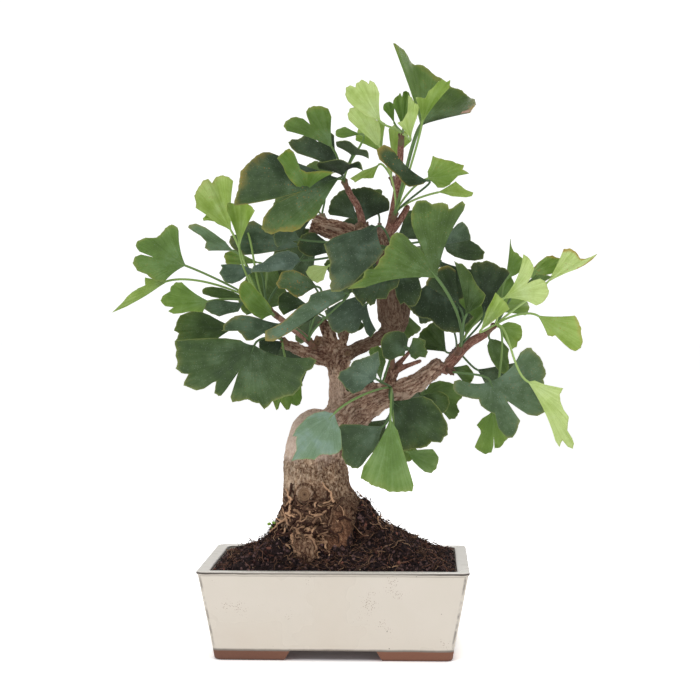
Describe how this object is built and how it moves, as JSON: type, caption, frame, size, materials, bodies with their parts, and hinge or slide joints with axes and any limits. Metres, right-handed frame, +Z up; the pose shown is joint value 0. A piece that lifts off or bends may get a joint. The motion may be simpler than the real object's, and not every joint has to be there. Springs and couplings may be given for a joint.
{
  "type": "ginkgo bonsai",
  "caption": "Ginkgo bonsai: a stout chopped trunk with fan-shaped leaves on short shoots, growing from soil in a low rectangular cream glazed pot with corner feet.",
  "frame": {"origin": "on the resting plane, under the centre of the whole tree's bounding box", "axes": "+Z up, +X along the pot's length to the tree's right as seen from its front, +Y to the back"},
  "size_m": [0.3658, 0.2064, 0.4673],
  "materials": {
    "pot": "cream glaze with fine brown specks, bare terracotta feet",
    "drain_mesh": "matte black",
    "soil": "dark crumbly soil with fibres",
    "bark": "rough grey-brown bark",
    "leaf_dark": "satin dark green leaf",
    "leaf_mid": "satin green leaf",
    "leaf_light": "satin light yellow-green leaf"
  },
  "bodies": {
    "root": {"pot": "pot", "drain_mesh_left": "drain_mesh", "drain_mesh_right": "drain_mesh", "soil": "soil", "wood": "bark", "leaves_left_tip": "leaf_mid", "leaves_left_low": "leaf_dark", "leaves_left_middle": "leaf_dark", "leaves_knot": "leaf_dark", "leaves_upper_left": "leaf_dark", "leaves_top": "leaf_light", "leaves_leader": "leaf_mid", "leaves_crown_rear": "leaf_dark", "leaves_crown_front": "leaf_dark", "leaves_right_upper": "leaf_dark", "leaves_right_tip": "leaf_light", "leaves_right_low": "leaf_dark", "leaves_low_centre": "leaf_mid", "leaves_stub": "leaf_dark", "leaves_low_right": "leaf_mid", "leaves_back_left": "leaf_dark", "leaves_back_middle": "leaf_dark", "leaves_back_high": "leaf_mid", "leaves_back_right": "leaf_mid", "leaves_back_low": "leaf_dark", "leaves_back_top": "leaf_light", "leaves_back_upper_left": "leaf_dark"}
  },
  "joints": []
}
